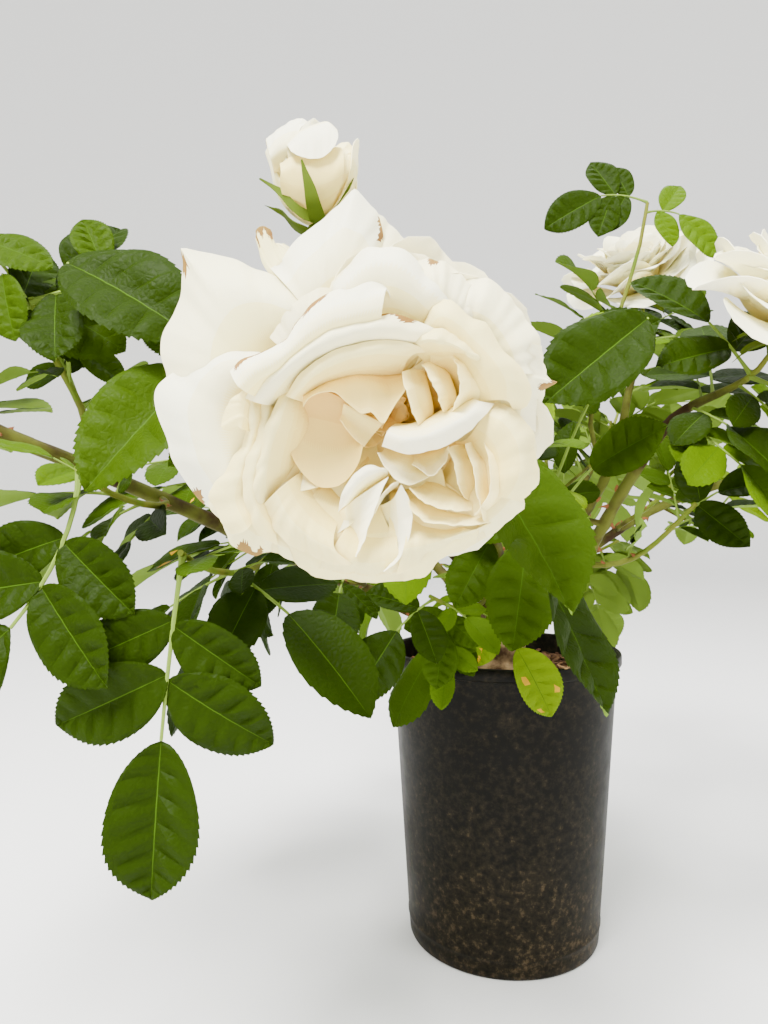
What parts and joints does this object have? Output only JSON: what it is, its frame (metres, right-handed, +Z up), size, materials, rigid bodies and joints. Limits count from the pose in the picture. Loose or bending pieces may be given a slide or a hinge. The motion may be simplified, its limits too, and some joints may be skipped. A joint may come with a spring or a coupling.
{
  "type": "potted rose bush",
  "caption": "Leafy garden rose with large double white blooms and half-open buds, growing in a tall plain black nursery pot.",
  "frame": {"origin": "centre of the pot's flat underside, on the surface that it stands on", "axes": "+Z up along the pot's axis; -Y towards the side of the large open bloom, as in the picture; +X to the right seen from there"},
  "size_m": [0.8285, 0.7888, 0.6093],
  "materials": {
    "pot": "thin black plastic, dull, dusty and speckled with dried soil low down",
    "soil": "moist bark-based potting compost, crumbly",
    "bark": "rough brown-green bark of an old rose stock",
    "cane": "green to red-brown rind, slightly waxy, with prickles",
    "leaf": "half-glossy green leaflets with paler veins and undersides",
    "petal": "creamy white, soft and slightly translucent, brown at a few edges"
  },
  "bodies": {
    "root": {"pot": "pot", "soil": "soil", "stock": "bark", "cane_front": "cane", "cane_bud": "cane", "cane_left": "cane", "cane_right_front": "cane", "cane_right_back": "cane", "cane_right": "cane", "cane_back_right": "cane", "cane_back_left": "cane", "leaves_front_tip": "leaf", "leaves_front_low": "leaf", "leaves_front_mid": "leaf", "leaves_bud_tip": "leaf", "leaves_bud_side": "leaf", "leaves_left_tip": "leaf", "leaves_left_up": "leaf", "leaves_left_down": "leaf", "leaves_left_fore": "leaf", "leaves_left_low": "leaf", "leaves_left_back": "leaf", "leaves_right_front_tip": "leaf", "leaves_right_front_side": "leaf", "leaves_right_front_low": "leaf", "leaves_right_back_tip": "leaf", "leaves_right_back_leafy": "leaf", "leaves_right_back_side": "leaf", "leaves_right_tip": "leaf", "leaves_right_side": "leaf", "leaves_right_low": "leaf", "leaves_back_right_tip": "leaf", "leaves_back_right_side": "leaf", "leaves_back_right_low": "leaf", "leaves_back_left_tip": "leaf", "leaves_back_left_side": "leaf", "leaves_back_left_low": "leaf", "bloom_main": "petal", "bloom_right": "petal", "bloom_back_right": "petal", "bloom_back_left": "petal", "bud_front": "petal", "bud_left": "petal"}
  },
  "joints": []
}
